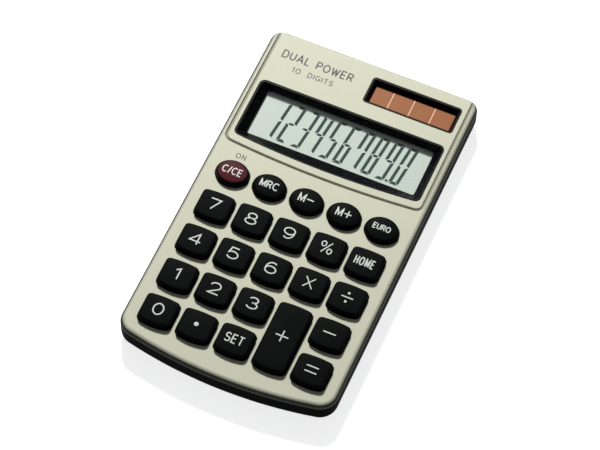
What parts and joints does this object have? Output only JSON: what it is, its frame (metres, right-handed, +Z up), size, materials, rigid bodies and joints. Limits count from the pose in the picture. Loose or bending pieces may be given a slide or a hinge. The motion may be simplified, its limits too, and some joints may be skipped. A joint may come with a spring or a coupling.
{
  "type": "pocket calculator",
  "caption": "Slim solar calculator: silver lid on a black shell, sunk segment display and solar cell in black surrounds, and soft rubber keys that press in.",
  "frame": {"origin": "middle of the bounding box, on the plane of the feet's undersides", "axes": "+X to the right across the keys, +Y from the keys towards the display, +Z up out of the face"},
  "size_m": [0.07, 0.1214, 0.0117],
  "materials": {
    "silver_paint": "satin champagne-silver metallic paint on moulded plastic",
    "black_shell": "fine-grained black moulding",
    "bezel_plastic": "smooth black moulding, half gloss",
    "key_rubber": "soft-touch black silicone rubber with pale printed signs",
    "red_key_rubber": "black silicone rubber with a dark red printed top and pale signs",
    "mat_rubber": "plain black silicone rubber",
    "foot_rubber": "matte black rubber",
    "strip_rubber": "layered conductive and insulating rubber",
    "pad_foam": "dense foam",
    "display_glass": "pale green-grey reflective liquid-crystal glass with dark segments",
    "solar_glass": "brown amorphous cell glass with pale lines between its strips",
    "board_laminate": "green solder mask on laminate",
    "chip_resin": "black encapsulating resin",
    "capacitor_sleeve": "blue shrink sleeve",
    "cell_steel": "plated steel",
    "clip_brass": "plated brass strip",
    "screw_steel": "zinc-plated steel",
    "red_sleeve": "red wire sleeve",
    "black_sleeve": "black wire sleeve",
    "clear_window": "clear polished acrylic"
  },
  "bodies": {
    "case": {"back_cover": "black_shell", "front_cover": "silver_paint", "display_bezel": "bezel_plastic", "display_window": "clear_window", "lcd_panel": "display_glass", "zebra_strip": "strip_rubber", "lcd_foam_pad": "pad_foam", "solar_bezel": "bezel_plastic", "solar_cell": "solar_glass", "keypad_mat": "mat_rubber", "circuit_board": "board_laminate", "chip_blob": "chip_resin", "capacitor": "capacitor_sleeve", "button_cell": "cell_steel", "battery_clip_negative": "clip_brass", "battery_clip_positive": "clip_brass", "solar_wire_positive": "red_sleeve", "solar_wire_negative": "black_sleeve", "case_screw_top_left": "screw_steel", "case_screw_middle_left": "screw_steel", "case_screw_bottom_left": "screw_steel", "board_screw_upper_left": "screw_steel", "board_screw_lower_left": "screw_steel", "foot_top_left": "foot_rubber", "foot_bottom_left": "foot_rubber", "case_screw_top_right": "screw_steel", "case_screw_middle_right": "screw_steel", "case_screw_bottom_right": "screw_steel", "board_screw_upper_right": "screw_steel", "board_screw_lower_right": "screw_steel", "foot_top_right": "foot_rubber", "foot_bottom_right": "foot_rubber"},
    "key_on_clear": {"key_on_clear": "red_key_rubber"},
    "key_memory_recall": {"key_memory_recall": "key_rubber"},
    "key_memory_minus": {"key_memory_minus": "key_rubber"},
    "key_memory_plus": {"key_memory_plus": "key_rubber"},
    "key_currency": {"key_currency": "key_rubber"},
    "key_7": {"key_7": "key_rubber"},
    "key_8": {"key_8": "key_rubber"},
    "key_9": {"key_9": "key_rubber"},
    "key_percent": {"key_percent": "key_rubber"},
    "key_home": {"key_home": "key_rubber"},
    "key_4": {"key_4": "key_rubber"},
    "key_5": {"key_5": "key_rubber"},
    "key_6": {"key_6": "key_rubber"},
    "key_multiply": {"key_multiply": "key_rubber"},
    "key_divide": {"key_divide": "key_rubber"},
    "key_1": {"key_1": "key_rubber"},
    "key_2": {"key_2": "key_rubber"},
    "key_3": {"key_3": "key_rubber"},
    "key_plus": {"key_plus": "key_rubber"},
    "key_minus": {"key_minus": "key_rubber"},
    "key_0": {"key_0": "key_rubber"},
    "key_point": {"key_point": "key_rubber"},
    "key_set": {"key_set": "key_rubber"},
    "key_equals": {"key_equals": "key_rubber"}
  },
  "joints": [
    {"name": "key_on_clear_press", "type": "slide", "parent": "case", "child": "key_on_clear", "axis": [0, 0, -1], "range_m": [0, 0.0009], "stiffness_N_per_m": 500},
    {"name": "key_memory_recall_press", "type": "slide", "parent": "case", "child": "key_memory_recall", "axis": [0, 0, -1], "range_m": [0, 0.0009], "stiffness_N_per_m": 500},
    {"name": "key_memory_minus_press", "type": "slide", "parent": "case", "child": "key_memory_minus", "axis": [0, 0, -1], "range_m": [0, 0.0009], "stiffness_N_per_m": 500},
    {"name": "key_memory_plus_press", "type": "slide", "parent": "case", "child": "key_memory_plus", "axis": [0, 0, -1], "range_m": [0, 0.0009], "stiffness_N_per_m": 500},
    {"name": "key_currency_press", "type": "slide", "parent": "case", "child": "key_currency", "axis": [0, 0, -1], "range_m": [0, 0.0009], "stiffness_N_per_m": 500},
    {"name": "key_7_press", "type": "slide", "parent": "case", "child": "key_7", "axis": [0, 0, -1], "range_m": [0, 0.0009], "stiffness_N_per_m": 500},
    {"name": "key_8_press", "type": "slide", "parent": "case", "child": "key_8", "axis": [0, 0, -1], "range_m": [0, 0.0009], "stiffness_N_per_m": 500},
    {"name": "key_9_press", "type": "slide", "parent": "case", "child": "key_9", "axis": [0, 0, -1], "range_m": [0, 0.0009], "stiffness_N_per_m": 500},
    {"name": "key_percent_press", "type": "slide", "parent": "case", "child": "key_percent", "axis": [0, 0, -1], "range_m": [0, 0.0009], "stiffness_N_per_m": 500},
    {"name": "key_home_press", "type": "slide", "parent": "case", "child": "key_home", "axis": [0, 0, -1], "range_m": [0, 0.0009], "stiffness_N_per_m": 500},
    {"name": "key_4_press", "type": "slide", "parent": "case", "child": "key_4", "axis": [0, 0, -1], "range_m": [0, 0.0009], "stiffness_N_per_m": 500},
    {"name": "key_5_press", "type": "slide", "parent": "case", "child": "key_5", "axis": [0, 0, -1], "range_m": [0, 0.0009], "stiffness_N_per_m": 500},
    {"name": "key_6_press", "type": "slide", "parent": "case", "child": "key_6", "axis": [0, 0, -1], "range_m": [0, 0.0009], "stiffness_N_per_m": 500},
    {"name": "key_multiply_press", "type": "slide", "parent": "case", "child": "key_multiply", "axis": [0, 0, -1], "range_m": [0, 0.0009], "stiffness_N_per_m": 500},
    {"name": "key_divide_press", "type": "slide", "parent": "case", "child": "key_divide", "axis": [0, 0, -1], "range_m": [0, 0.0009], "stiffness_N_per_m": 500},
    {"name": "key_1_press", "type": "slide", "parent": "case", "child": "key_1", "axis": [0, 0, -1], "range_m": [0, 0.0009], "stiffness_N_per_m": 500},
    {"name": "key_2_press", "type": "slide", "parent": "case", "child": "key_2", "axis": [0, 0, -1], "range_m": [0, 0.0009], "stiffness_N_per_m": 500},
    {"name": "key_3_press", "type": "slide", "parent": "case", "child": "key_3", "axis": [0, 0, -1], "range_m": [0, 0.0009], "stiffness_N_per_m": 500},
    {"name": "key_plus_press", "type": "slide", "parent": "case", "child": "key_plus", "axis": [0, 0, -1], "range_m": [0, 0.0009], "stiffness_N_per_m": 500},
    {"name": "key_minus_press", "type": "slide", "parent": "case", "child": "key_minus", "axis": [0, 0, -1], "range_m": [0, 0.0009], "stiffness_N_per_m": 500},
    {"name": "key_0_press", "type": "slide", "parent": "case", "child": "key_0", "axis": [0, 0, -1], "range_m": [0, 0.0009], "stiffness_N_per_m": 500},
    {"name": "key_point_press", "type": "slide", "parent": "case", "child": "key_point", "axis": [0, 0, -1], "range_m": [0, 0.0009], "stiffness_N_per_m": 500},
    {"name": "key_set_press", "type": "slide", "parent": "case", "child": "key_set", "axis": [0, 0, -1], "range_m": [0, 0.0009], "stiffness_N_per_m": 500},
    {"name": "key_equals_press", "type": "slide", "parent": "case", "child": "key_equals", "axis": [0, 0, -1], "range_m": [0, 0.0009], "stiffness_N_per_m": 500}
  ]
}
